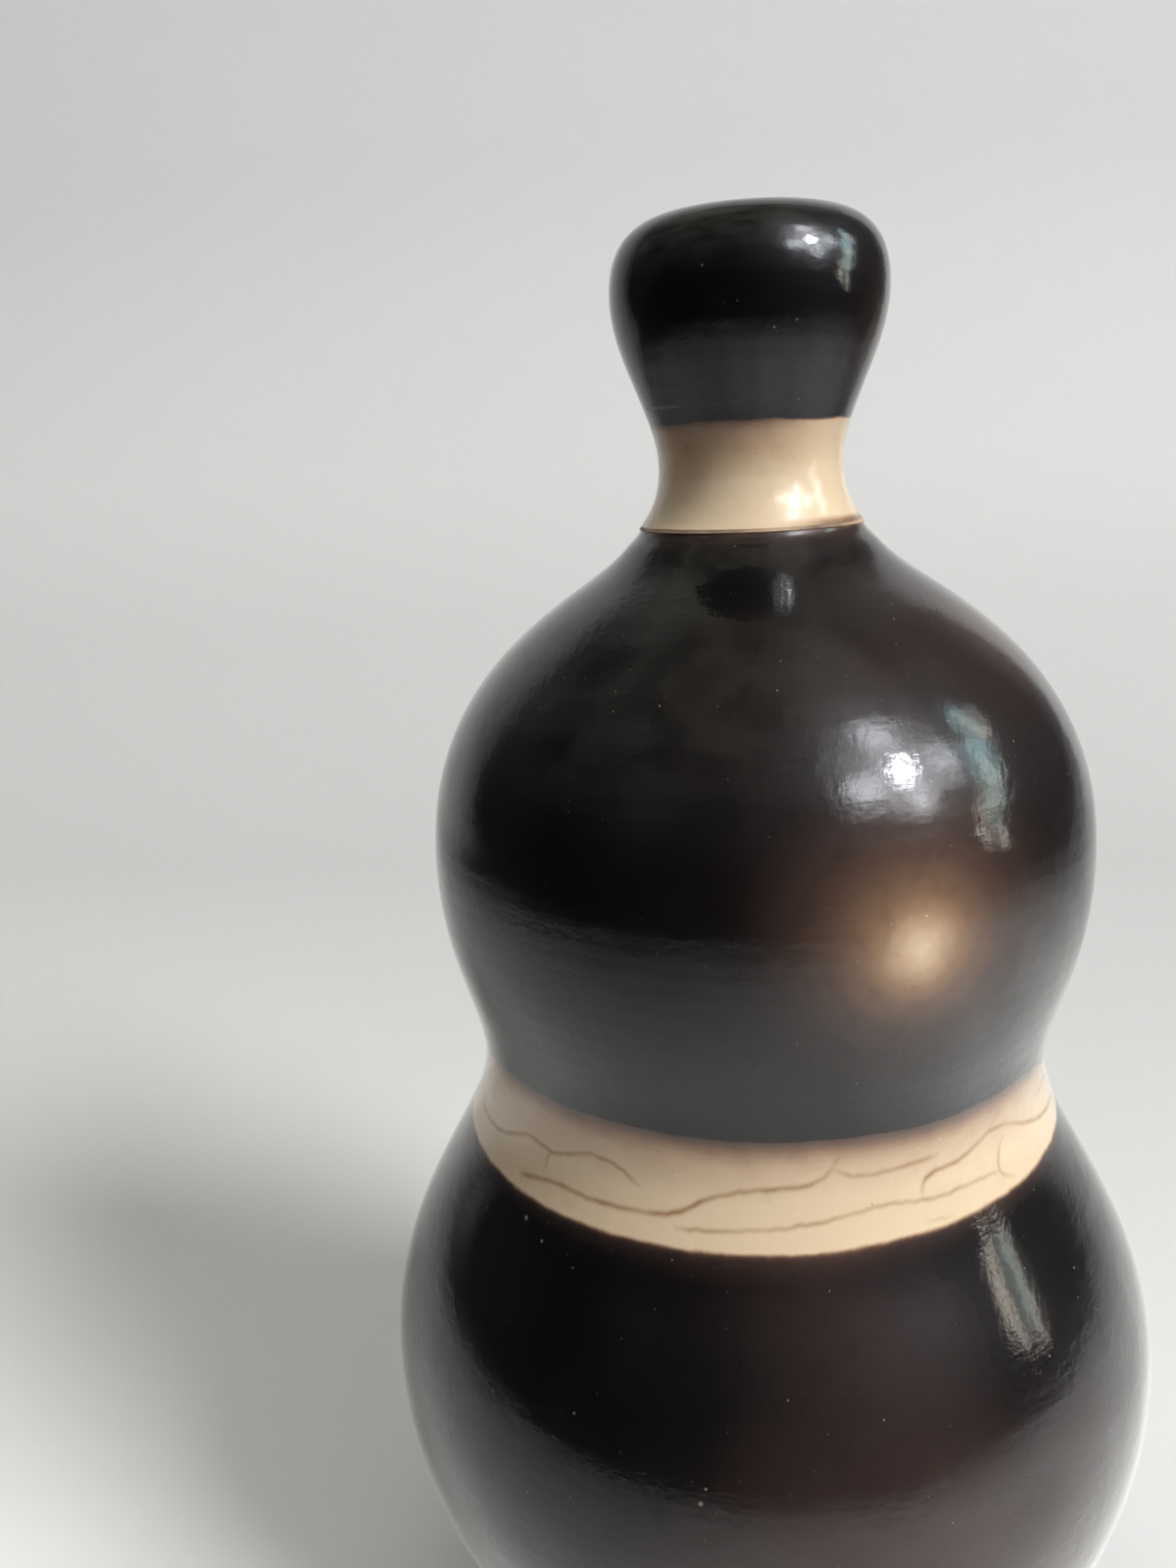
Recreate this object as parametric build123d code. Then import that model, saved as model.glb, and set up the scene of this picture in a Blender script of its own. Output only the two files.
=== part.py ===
"""Double gourd vase, in millimetres: hand-thrown clay sections luted together with slip.

The foot stands on z = 0, the vase's axis is Z, and the mouth opens upwards. The whole wall is drawn
once as a flat cross-section, and every section, collar and slip joint is a region of that drawing
turned about the axis, so neighbouring pieces always meet on the same line.
"""

from build123d import *

import os

# Outer shape: the radius at each widest or narrowest place, and the rise from one to the next.
base_radius = 37.0
belly_radius = 70.9
waist_radius = 50.6
bulb_radius = 57.0
neck_radius = 15.3
bud_radius = 22.5
lip_radius = 8.5
foot_height = 7.0
base_to_belly = 63.8
belly_to_waist = 59.4
waist_to_bulb = 35.9
bulb_to_neck = 65.0
neck_to_bud = 26.9
bud_to_lip = 12.0

# How sharply the outline bends at each of those places, as the radius of the bend.
belly_bend = 52.7
waist_bend = 24.7
bulb_bend = 72.0
neck_bend = 17.5
bud_bend = 22.7

# Inside: wall and floor thickness, the lip's roll and the straight throat of the mouth.
wall = 5.2
neck_wall = 4.3
bud_wall = 5.4
floor_thickness = 7.0
lip_roll = 2.0
mouth_bore_radius = 6.5
mouth_bore_length = 4.2

# Joints: the seams' heights, measured from the narrowest place beside them, and the keyed step in each.
waist_collar_below = 12.5
waist_collar_above = 4.7
waist_collar_thickness = 2.4
neck_root_below = 9.6
bud_seam_above = 9.1
key_height = 2.4
slip_gap = 0.5

# Foot ring, let into a turned seat under the base a little inside its edge.
foot_ring_inset = 2.0
foot_ring_width = 7.0
foot_ring_edge_radius = 1.5
foot_seat_depth = 1.4

# Shares of a curve's run or rise that set the length of its handles.
bend_share = 2 / 3
base_flare_share = 0.33
base_lift_share = 0.16
bud_over_share = 0.97
lip_run_share = 0.36
quarter_round_share = 0.5523
crown_run_share = 0.6
floor_run_share = 0.45

# Heights and radii that follow from these.
belly_height = foot_height + base_to_belly
waist_height = belly_height + belly_to_waist
bulb_height = waist_height + waist_to_bulb
neck_height = bulb_height + bulb_to_neck
bud_height = neck_height + neck_to_bud
lip_height = bud_height + bud_to_lip
floor_height = foot_height + floor_thickness
mouth_top = lip_height - lip_roll
mouth_bottom = mouth_top - mouth_bore_length
foot_ring_outer_radius = base_radius - foot_ring_inset
foot_ring_inner_radius = foot_ring_outer_radius - foot_ring_width

# A region that cuts the drawing runs this far past it.
overrun = belly_radius


def at(radius, height):
    """A point of the flat drawing, which lies in the plane y = 0."""
    return Vector(radius, 0, height)


def bend_handle(run, bend):
    """The handle's length that gives a curve this bend where it leaves a place at the far end of a run."""
    return (bend_share * abs(run) * bend) ** 0.5


def upright_curve(low, high, low_bend, high_bend):
    """A curve that is upright at both ends and bends there as its neighbours do."""
    run = high.X - low.X
    low_handle = at(0, bend_handle(run, low_bend))
    high_handle = at(0, bend_handle(run, high_bend))
    return Bezier(low, low + low_handle, high - high_handle, high)


def outer_curves():
    """The outer line, from the edge of the base up to the top of the lip and into the mouth."""
    base = at(base_radius, foot_height)
    belly = at(belly_radius, belly_height)
    waist = at(waist_radius, waist_height)
    bulb = at(bulb_radius, bulb_height)
    neck = at(neck_radius, neck_height)
    bud = at(bud_radius, bud_height)
    lip = at(lip_radius, lip_height)
    throat = at(mouth_bore_radius, mouth_top)
    flare = base + at((belly_radius - base_radius) * base_flare_share, base_to_belly * base_lift_share)
    under_belly = belly - at(0, bend_handle(belly.X - flare.X, belly_bend))
    over_bud = bud + at(0, bud_to_lip * bud_over_share)
    lip_handle = at((bud_radius - lip_radius) * lip_run_share, 0)
    roll_handle = at((lip_radius - mouth_bore_radius) * quarter_round_share, 0)
    throat_handle = at(0, lip_roll * quarter_round_share)
    return {
        "base": Bezier(base, flare, under_belly, belly),
        "belly": upright_curve(belly, waist, belly_bend, waist_bend),
        "waist": upright_curve(waist, bulb, waist_bend, bulb_bend),
        "bulb": upright_curve(bulb, neck, bulb_bend, neck_bend),
        "neck": upright_curve(neck, bud, neck_bend, bud_bend),
        "bud": Bezier(bud, over_bud, lip + lip_handle, lip),
        "lip": Bezier(lip, lip - roll_handle, throat + throat_handle, throat),
    }


def inner_curves():
    """The inner line, from the foot of the mouth's throat down to the edge of the floor.

    Inside the wall a swelling bends more sharply than outside it, and a narrow place less sharply.
    """
    throat = at(mouth_bore_radius, mouth_bottom)
    bud = at(bud_radius - bud_wall, bud_height)
    neck = at(neck_radius - neck_wall, neck_height)
    bulb = at(bulb_radius - wall, bulb_height)
    waist = at(waist_radius - wall, waist_height)
    belly = at(belly_radius - wall, belly_height)
    floor = at(base_radius - wall, floor_height)
    crown_handle = at((bud.X - throat.X) * crown_run_share, 0)
    crown_rise = at(0, (mouth_bottom - bud_height) * quarter_round_share)
    floor_handle = at((belly.X - floor.X) * floor_run_share, 0)
    floor_rise = at(0, (belly_height - floor_height) * quarter_round_share)
    inner_bud_bend, inner_neck_bend = bud_bend - bud_wall, neck_bend + neck_wall
    inner_bulb_bend, inner_waist_bend = bulb_bend - wall, waist_bend + wall
    inner_belly_bend = belly_bend - wall
    return {
        "crown": Bezier(throat, throat + crown_handle, bud + crown_rise, bud),
        "bud": upright_curve(neck, bud, inner_neck_bend, inner_bud_bend),
        "neck": upright_curve(bulb, neck, inner_bulb_bend, inner_neck_bend),
        "bulb": upright_curve(waist, bulb, inner_waist_bend, inner_bulb_bend),
        "waist": upright_curve(belly, waist, inner_belly_bend, inner_waist_bend),
        "belly": Bezier(floor, floor + floor_handle, belly - floor_rise, belly),
    }


def wall_drawing(outer, inner):
    """The whole wall as one flat face, closed along the axis through the floor."""
    base_line = Line(at(0, foot_height), at(base_radius, foot_height))
    throat_line = Line(at(mouth_bore_radius, mouth_top), at(mouth_bore_radius, mouth_bottom))
    floor_line = Line(at(base_radius - wall, floor_height), at(0, floor_height))
    axis_line = Line(at(0, floor_height), at(0, foot_height))
    edges = [base_line, *outer.values(), throat_line, *inner.values(), floor_line, axis_line]
    return make_face(edges)


def radius_at(curve, height):
    """Where a rising curve crosses a height, by halving the stretch that holds the crossing."""
    low, high = 0.0, 1.0
    for _ in range(40):
        middle = (low + high) / 2
        if (curve @ middle).Z < height:
            low = middle
        else:
            high = middle
    return (curve @ low).X


def region(*corners):
    """A flat region with straight sides, from its corners."""
    return make_face(Polyline(*corners, close=True))


def stepped_line(step_radius, height, offset):
    """A keyed seam's line from the axis outwards: the inner half stands one key higher than the outer.

    The offset moves the whole line up and out by the same amount, so two offsets leave an even gap.
    """
    inner_height = height + key_height + offset
    outer_height = height + offset
    return [
        at(0, inner_height),
        at(step_radius + offset, inner_height),
        at(step_radius + offset, outer_height),
        at(belly_radius + overrun, outer_height),
    ]


def below(line):
    """Everything under a seam's line, down past the foot."""
    return region(*line, at(belly_radius + overrun, -overrun), at(0, -overrun))


def between(low_line, high_line):
    """Everything between two seams' lines."""
    return region(*low_line, *reversed(high_line))


def above(line):
    """Everything over a seam's line, up past the lip."""
    top = lip_height + overrun
    return region(*line, at(belly_radius + overrun, top), at(0, top))


def ring_region(inner_radius, outer_radius, low, high):
    """A rectangle of the drawing, which turns into a ring."""
    return region(
        at(inner_radius, low),
        at(outer_radius, low),
        at(outer_radius, high),
        at(inner_radius, high),
    )


def turned(flat):
    """A flat region of the drawing turned once about the vase's axis."""
    return revolve(flat, Axis.Z)


def foot_ring_drawing():
    """The foot ring's section, with both of its lower edges eased."""
    top = foot_height + foot_seat_depth - slip_gap
    flat = ring_region(foot_ring_inner_radius, foot_ring_outer_radius, 0, top)
    lower_corners = flat.vertices().sort_by(Axis.Z)[:2]
    return fillet(lower_corners, foot_ring_edge_radius)


def foot_seat_regions():
    """The seat turned into the base for the ring, and the slip that fills the gap round the ring in it."""
    seat = ring_region(
        foot_ring_inner_radius - slip_gap,
        foot_ring_outer_radius + slip_gap,
        foot_height,
        foot_height + foot_seat_depth,
    )
    ring = ring_region(
        foot_ring_inner_radius, foot_ring_outer_radius, 0, foot_height + foot_seat_depth - slip_gap
    )
    return seat, seat - ring


def collar_region(outer, bottom, top):
    """The waist collar's place: an even depth into the wall, following its slope over and under the waist."""
    outside = belly_radius + overrun
    return region(
        at(outside, bottom),
        at(radius_at(outer["belly"], bottom) - waist_collar_thickness, bottom),
        at(waist_radius - waist_collar_thickness, waist_height),
        at(radius_at(outer["waist"], top) - waist_collar_thickness, top),
        at(outside, top),
    )


def sections():
    """Every piece by name, from the foot up."""
    outer, inner = outer_curves(), inner_curves()
    drawing = wall_drawing(outer, inner)

    collar_bottom = waist_height - waist_collar_below
    collar_top = waist_height + waist_collar_above
    collar = collar_region(outer, collar_bottom, collar_top)

    waist_seam = (collar_bottom + collar_top - key_height) / 2
    waist_step = (waist_radius - wall + waist_radius - waist_collar_thickness) / 2
    root_seam = neck_height - neck_root_below
    root_step = (radius_at(outer["bulb"], root_seam) + radius_at(inner["neck"], root_seam)) / 2
    bud_seam = neck_height + bud_seam_above
    bud_step = (radius_at(outer["neck"], bud_seam) + radius_at(inner["bud"], bud_seam)) / 2

    half_gap = slip_gap / 2
    lines = {}
    for name, step, height in (
        ("waist", waist_step, waist_seam),
        ("root", root_step, root_seam),
        ("bud", bud_step, bud_seam),
    ):
        lines[name] = stepped_line(step, height, -half_gap), stepped_line(step, height, half_gap)

    seat, seat_slip = foot_seat_regions()
    return {
        "foot_ring": turned(foot_ring_drawing()),
        "foot_slip": turned(seat_slip),
        "lower_gourd": turned((drawing & below(lines["waist"][0])) - collar - seat),
        "waist_slip": turned((drawing & between(*lines["waist"])) - collar),
        "waist_collar": turned(drawing & collar),
        "upper_gourd": turned((drawing & between(lines["waist"][1], lines["root"][0])) - collar),
        "neck_slip": turned(drawing & between(*lines["root"])),
        "neck_collar": turned(drawing & between(lines["root"][1], lines["bud"][0])),
        "bud_slip": turned(drawing & between(*lines["bud"])),
        "mouth_bud": turned(drawing & above(lines["bud"][1])),
    }


def main():
    """Writes one STEP file for each piece."""
    os.makedirs("parts", exist_ok=True)
    for name, piece in sections().items():
        export_step(piece, f"parts/{name}.step")


main()
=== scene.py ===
"""The double gourd vase, dressed: turned clay sections with their smoke marks, crackle and burnish.

The gourds, bands, mouth and foot are turned again from the sections of their own CAD nodes, finer and a
little uneven, and the slip joints are carried over. Lengths are in metres.
"""

import math

import bmesh
import bpy
import numpy as np
from mathutils import Matrix, Vector


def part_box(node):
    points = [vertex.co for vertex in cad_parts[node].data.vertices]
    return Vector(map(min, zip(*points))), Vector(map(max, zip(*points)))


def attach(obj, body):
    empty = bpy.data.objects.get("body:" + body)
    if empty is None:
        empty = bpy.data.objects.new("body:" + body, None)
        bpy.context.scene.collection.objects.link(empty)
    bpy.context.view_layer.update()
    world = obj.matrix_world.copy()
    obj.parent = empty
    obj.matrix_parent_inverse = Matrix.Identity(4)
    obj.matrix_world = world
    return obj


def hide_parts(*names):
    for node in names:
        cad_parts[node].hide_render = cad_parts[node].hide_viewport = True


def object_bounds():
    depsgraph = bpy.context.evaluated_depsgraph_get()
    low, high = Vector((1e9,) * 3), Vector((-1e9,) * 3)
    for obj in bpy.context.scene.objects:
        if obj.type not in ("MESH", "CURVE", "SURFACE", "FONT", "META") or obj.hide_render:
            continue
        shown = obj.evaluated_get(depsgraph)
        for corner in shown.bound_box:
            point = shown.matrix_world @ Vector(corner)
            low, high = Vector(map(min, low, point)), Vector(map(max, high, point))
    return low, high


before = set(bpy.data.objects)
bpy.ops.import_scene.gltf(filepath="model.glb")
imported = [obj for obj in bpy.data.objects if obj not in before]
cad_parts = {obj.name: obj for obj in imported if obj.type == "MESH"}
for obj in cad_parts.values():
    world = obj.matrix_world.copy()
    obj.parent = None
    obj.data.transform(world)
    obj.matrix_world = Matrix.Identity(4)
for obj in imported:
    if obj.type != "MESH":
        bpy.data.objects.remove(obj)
cad_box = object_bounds()

MM = 0.001
SNAP = 0.001 * MM
ROUND = 2 * math.pi
seed = 7

# Camera of the photograph: its distance from the vase's axis, its height, its aim and its lens.
camera_distance = 220.0 * MM
camera_height = 235.6 * MM
camera_yaw = math.radians(-7.69)
camera_pitch = math.radians(14.94)
camera_roll = math.radians(-2.73)
camera_lens_mm = 29.25
camera_sensor_mm = 36.0
camera_clip = 5.0 * MM

# Mesh fineness: steps along the section and round the vase.
outer_step = 1.1 * MM
shoulder_step = 0.6 * MM
band_step = 0.26 * MM
neck_step = 0.45 * MM
inner_step = 4.0 * MM
gourd_turns = 420
band_turns = 1240
neck_turns = 480
corner_turn = math.radians(40)
sharp_turn = math.radians(38)

# Hand-made unevenness of the wall, always inwards so that the vase stays within its own size. Each slow
# wave has its lobes round the vase, its phase, its lean over the whole height and its share.
wobble_depth = 0.12 * MM
wobble_waves = ((2, 1.3, 5.0, 1.0), (3, -0.7, -4.0, 0.6))
ripple_depth = 0.012 * MM
ripple_pitch = 3.1 * MM
ripple_sway = 1.5
seam_reach = 4.0 * MM

# Crackle on the waist band: half-width of a line, depth of its groove, and how unevenly it is drawn.
crack_width = 0.43 * MM
crack_thin_share = 0.45
crack_depth = 0.05 * MM
crack_step = 1.1 * MM
crack_jitter = 0.09 * MM
crack_fade = 2.5 * MM
crack_end_share = 0.35
crack_weights = (0.75, 1.0)
crack_near = 3.0 * MM

# The root of the neck: the neck's uneven foot, whose waves have lobes, phase and share, and the hollows of
# the shoulder under it, each with its distance below the root, its reach and its depth.
root_ridge = 0.1 * MM
root_reach = 1.2 * MM
root_mean_share = 0.6
root_waves = ((5, 0.0, 0.25), (13, 2.0, 0.15))
shoulder_hollows = (
    (1.5 * MM, 1.1 * MM, 0.3 * MM),
    (6.5 * MM, 4.3 * MM, 0.55 * MM),
    (25.0 * MM, 16.0 * MM, 0.42 * MM),
)

# Under the belly the wall stays fuller for a while: the height of that swell, its reach and its depth.
swell_height = 38.0 * MM
swell_reach = 20.0 * MM
swell_depth = 0.85 * MM


def corner_keys(mesh):
    """Each vertex's place on the half-plane y = 0, x > 0 as whole steps of (radius, height), or None."""
    keys = []
    for vertex in mesh.vertices:
        x, y, z = vertex.co
        on_plane = abs(y) < SNAP and x > -SNAP
        keys.append((round(x / SNAP), round(z / SNAP)) if on_plane else None)
    return keys


def section_chains(mesh):
    """The stretches of a turned node's section that its mesh edges follow, flat rings left out."""
    keys = corner_keys(mesh)
    links = {}
    for edge in mesh.edges:
        a, b = (keys[v] for v in edge.vertices)
        if a is None or b is None or a[1] == b[1]:
            continue
        links.setdefault(a, set()).add(b)
        links.setdefault(b, set()).add(a)
    chains = []
    while links:
        ends = [key for key, near in links.items() if len(near) == 1]
        chain = [min(ends or links)]
        while links.get(chain[-1]):
            here = chain[-1]
            there = links[here].pop()
            links[there].discard(here)
            if not links[here]:
                del links[here]
            chain.append(there)
        links = {key: near for key, near in links.items() if near}
        chains.append(chain)
    return chains


def section_line(node):
    """A turned node's section as one line of (radius, height) points, and whether it closes on itself.

    Flat rings join the chain ends at one height in pairs from the outside. An end left over runs to the
    axis.
    """
    chains = section_chains(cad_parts[node].data)
    ends = [key for chain in chains for key in (chain[0], chain[-1])]
    ends.sort(key=lambda k: (k[1], -k[0]))
    partner, axis_ends, i = {}, [], 0
    while i < len(ends):
        if i + 1 < len(ends) and ends[i][1] == ends[i + 1][1]:
            partner[ends[i]], partner[ends[i + 1]] = ends[i + 1], ends[i]
            i += 2
        else:
            axis_ends.append(ends[i])
            i += 1
    by_end = {}
    for chain in chains:
        by_end[chain[0]] = chain
        by_end[chain[-1]] = chain[::-1]
    start = axis_ends[0] if axis_ends else chains[0][0]
    line, here = [], start
    while True:
        line += by_end[here]
        here = partner.get(line[-1])
        if here is None or here == start:
            break
    points = np.array(line, float) * SNAP
    if axis_ends:
        first, last = points[0], points[-1]
        points = np.vstack([[0.0, first[1]], points, [0.0, last[1]]])
    return points, not axis_ends


def smooth_runs(points, closed):
    """The line cut at its corners into runs of points."""
    count = len(points)
    if closed:
        points = np.vstack([points, points[:1]])
    steps = np.diff(points, axis=0)
    heading = np.arctan2(steps[:, 1], steps[:, 0])
    turn = np.abs((np.diff(heading) + math.pi) % ROUND - math.pi)
    corners = [i + 1 for i in range(len(turn)) if turn[i] > corner_turn]
    if closed:
        corners = sorted({0, *corners})
        cuts = [*corners, count]
    else:
        cuts = [0, *corners, count - 1]
    return [points[a : b + 1] for a, b in zip(cuts, cuts[1:])]


def spline(points):
    """A natural cubic spline through points, as a function of distance along them, and those distances."""
    distance = np.r_[0, np.cumsum(np.hypot(*np.diff(points, axis=0).T))]
    gaps = np.diff(distance)
    slopes = np.diff(points, axis=0) / gaps[:, None]
    size = len(points)
    system, right = np.eye(size), np.zeros((size, 2))
    for i in range(1, size - 1):
        system[i, i - 1 : i + 2] = gaps[i - 1], 2 * (gaps[i - 1] + gaps[i]), gaps[i]
        right[i] = 6 * (slopes[i] - slopes[i - 1])
    bend = np.linalg.solve(system, right)

    def at(where):
        where = np.asarray(where, float)
        i = np.clip(np.searchsorted(distance, where) - 1, 0, size - 2)
        gap = gaps[i][:, None]
        a = ((distance[i + 1] - where) / gaps[i])[:, None]
        b = 1 - a
        curve = ((a**3 - a) * bend[i] + (b**3 - b) * bend[i + 1]) * gap**2 / 6
        return a * points[i] + b * points[i + 1] + curve

    return at, distance


def outer_run(runs):
    """The number of the run that is the outside of a section: the long one farthest from the axis."""
    lengths = [np.hypot(*np.diff(run, axis=0).T).sum() for run in runs]
    longest = max(lengths)
    far = [run[:, 0].mean() if length > longest / 2 else 0 for run, length in zip(runs, lengths)]
    return int(np.argmax(far))


outside_nodes = ("lower_gourd", "waist_collar", "upper_gourd", "neck_collar", "mouth_bud")
sections = {}
for node in (*outside_nodes, "foot_ring"):
    points, closed = section_line(node)
    runs = smooth_runs(points, closed)
    sections[node] = runs, outer_run(runs), closed


def outside_line():
    """The vase's whole outer line, over all sections, as one spline."""
    rising = []
    for node in outside_nodes:
        runs, number, _ = sections[node]
        run = runs[number]
        rising.append(run if run[0, 1] < run[-1, 1] else run[::-1])
    points = np.vstack(rising)
    far_enough = np.r_[True, np.hypot(*np.diff(points, axis=0).T) > 2 * SNAP]
    return spline(points[far_enough])


seam_heights = [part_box(node)[0].z for node in ("foot_slip", "waist_collar", "neck_collar", "mouth_bud")]
seam_heights.append(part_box("waist_collar")[1].z)
outside, outside_distance = outside_line()
outside_points = outside(outside_distance)
belly_height = outside_points[np.argmax(outside_points[:, 0]), 1]


def outside_place(point):
    """The distance along the outer line of the place nearest to a point of it."""
    return outside_distance[np.argmin(np.hypot(*(outside_points - point).T))]


def resample(run, step, is_outside):
    """A run at even steps: along the shared outer line for the outside, else along its own points."""
    if is_outside:
        low, high = outside_place(run[0]), outside_place(run[-1])
        count = max(2, int(abs(high - low) / step) + 1)
        return outside(np.linspace(low, high, count))
    length = np.hypot(*np.diff(run, axis=0).T).sum()
    count = max(2, int(length / step) + 2)
    if len(run) < 3:
        share = np.linspace(0, 1, count)[:, None]
        return run[0] * (1 - share) + run[-1] * share
    curve, distance = spline(run)
    return curve(np.linspace(0, distance[-1], count))


def wobble(angle, height):
    """How far the hand-made wall lies inside the true round; nothing at a seam."""
    tall = height / cad_box[1].z
    slow, whole = 0.0, 0.0
    for lobes, phase, lean, share in wobble_waves:
        slow = slow + share * np.cos(lobes * angle + phase + lean * tall)
        whole += share
    waves = 0.5 + 0.5 * slow / whole
    rings = 0.5 + 0.5 * np.cos(ROUND * height / ripple_pitch + ripple_sway * np.cos(angle))
    free = 1.0
    for seam in seam_heights:
        free = free * (1 - np.exp(-(((height - seam) / seam_reach) ** 2)))
    return free * (wobble_depth * waves + ripple_depth * rings)


def turned_piece(name, node, step, turns, shape=None):
    """A new mesh turned from a node's section.

    The shape, if any, changes the radius of each outside point and gives values to keep on the points.
    """
    runs, outer_number, closed = sections[node]
    points, outer = [], []
    for number, run in enumerate(runs):
        is_outside = number == outer_number and node in outside_nodes
        fine = resample(run, step if number == outer_number else inner_step, is_outside)
        fine = fine if number == 0 and not closed else fine[1:]
        points.append(fine)
        outer.append(np.full(len(fine), number == outer_number))
    line, outer = np.vstack(points), np.concatenate(outer)
    angle = np.arange(turns) * ROUND / turns
    radius = np.repeat(line[:, :1], turns, axis=1)
    low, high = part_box(node)
    height = np.clip(np.repeat(line[:, 1:], turns, axis=1), low.z, high.z)
    angles = np.repeat(angle[None, :], len(line), axis=0)
    is_outer = np.repeat(outer[:, None], turns, axis=1)
    on_axis = radius < SNAP
    radius = np.where(on_axis, 0, radius - wobble(angles, height))
    marks = {}
    if shape is not None:
        change, marks = shape(angles, height, is_outer)
        radius = np.where(on_axis, 0, radius + change)
    return add_turned_mesh(name, node, radius, height, angles, marks, closed)


def add_turned_mesh(name, node, radius, height, angles, marks, closed):
    """Puts the turned points into a mesh, with one point where a row lies on the axis."""
    rows, turns = radius.shape
    x, y = radius * np.cos(angles), radius * np.sin(angles)
    verts, index = [], np.zeros((rows, turns), int)
    values = {key: [] for key in marks}
    for i in range(rows):
        single = radius[i].max() < SNAP
        width = 1 if single else turns
        index[i] = len(verts) + (np.zeros(turns, int) if single else np.arange(turns))
        verts += list(zip(x[i, :width], y[i, :width], height[i, :width]))
        for key, value in marks.items():
            values[key] += list(value[i, :width])
    faces = []
    for i in range(rows if closed else rows - 1):
        low, high = index[i], index[(i + 1) % rows]
        low_next, high_next = np.roll(low, -1), np.roll(high, -1)
        for a, b, c, d in zip(low, low_next, high_next, high):
            faces.append([k for k, n in zip((a, b, c, d), (b, c, d, a)) if k != n])
    mesh = bpy.data.meshes.new(name)
    mesh.from_pydata(verts, [], [f for f in faces if len(f) > 2])
    mesh.update()
    work = bmesh.new()
    work.from_mesh(mesh)
    bmesh.ops.recalc_face_normals(work, faces=work.faces)
    work.to_mesh(mesh)
    work.free()
    mesh.shade_smooth()
    mesh.set_sharp_from_angle(angle=sharp_turn)
    for key, value in values.items():
        made = mesh.attributes.new(key, "FLOAT", "POINT")
        made.data.foreach_set("value", np.array(value, np.float32))
    piece = bpy.data.objects.new(name, mesh)
    bpy.context.scene.collection.objects.link(piece)
    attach(piece, "root")
    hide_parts(node)
    return piece


# Where the smoke stopped, from the seams of the frame: edges of the cream neck and of the cream waist band.
neck_dark_drop = 2.6 * MM
bud_seam_rise = 0.1 * MM
neck_root_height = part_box("neck_collar")[0].z
neck_dark_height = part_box("mouth_bud")[0].z - neck_dark_drop
bud_seam_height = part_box("mouth_bud")[0].z + bud_seam_rise
waist_low_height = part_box("waist_collar")[0].z
waist_high_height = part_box("waist_collar")[1].z
waist_low_tilt = math.tan(math.radians(1.23))

# The waist band's crackle as the photograph shows it: each line's strength, then its points in degrees
# round from the front and millimetres over the band's lower edge.
front_cracks = (
    (0.8, ((-72, 3.8), (-62, 4.0), (-55, 5.4), (-46, 8.0), (-41, 7.5), (-32, 10.0), (-25, 9.3),
           (-21, 7.3))),
    (0.6, ((-41, 7.5), (-42, 3.9))),
    (1.0, ((-48, 1.3), (-38, 3.2), (-29, 3.2), (-22, 3.6), (-14, 4.6), (-9, 7.0), (-4, 8.6), (5, 9.5),
           (9.5, 10.3), (12.5, 12.4))),
    (0.7, ((12.5, 12.4), (14, 14.6))),
    (0.85, ((12.5, 12.4), (14, 11.3), (20, 10.5), (26, 10.8), (32, 11.1))),
    (0.65, ((-14, 2.4), (-5, 2.9), (5, 3.7), (12, 4.5), (22, 5.5), (30, 4.8), (42, 4.7), (46, 4.3))),
    (0.9, ((28.5, 5.9), (29, 7.5), (34, 8.7), (41, 10.1), (44, 11.0), (56, 8.7), (65, 6.1), (78, 4.3))),
    (0.6, ((49, 9.1), (46.5, 4.2), (50, 2.2))),
    (0.3, ((28, 1.9), (31, 1.6), (34, 1.5))),
    (0.5, ((76, 10.6), (70, 10.1), (64, 10.2))),
)

# The crackle of the side that the photograph doesn't show, in the same units: how far round it starts,
# the rows that its lines follow, their steps and wander, and the chances and sizes of branches and gaps.
front_half_degrees = 84
back_rows = (4.0, 8.0, 12.0)
back_start_spread = 12
back_step = 9
back_step_shares = (0.6, 1.4)
back_wander = 1.4
back_limits = (1.2, 14.5)
back_strengths = (0.6, 1.0)
branch_chance = 0.16
branch_lean = 2
branch_rise = 4
branch_limits = (1, 15)
branch_strengths = (0.5, 0.8)
gap_chance = 0.2
gap_after_points = 3
gap_degrees = (4, 16)


def back_cracks():
    """Lines like those of the front for the other side, wandering along the rows."""
    draw = np.random.default_rng(seed)
    lines = []
    for row in back_rows:
        degrees, height, line = front_half_degrees + draw.uniform(0, back_start_spread), row, []
        while degrees < 360 - front_half_degrees:
            line.append((degrees, height))
            degrees += back_step * draw.uniform(*back_step_shares)
            height = float(np.clip(height + draw.normal(0, back_wander), *back_limits))
            if draw.random() < branch_chance:
                tip = line[-1][0] + draw.normal(0, branch_lean)
                branch = line[-1], (tip, float(np.clip(height + branch_rise, *branch_limits)))
                lines.append((draw.uniform(*branch_strengths), branch))
            if len(line) > gap_after_points and draw.random() < gap_chance:
                lines.append((draw.uniform(*back_strengths), tuple(line)))
                degrees, line = degrees + draw.uniform(*gap_degrees), []
        if len(line) > 1:
            lines.append((draw.uniform(*back_strengths), tuple(line)))
    return lines


def from_front(degrees):
    """The angle about Z, from +X, of a place that many degrees round from the front, which faces -Y."""
    return math.radians(degrees) - math.pi / 2


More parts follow.
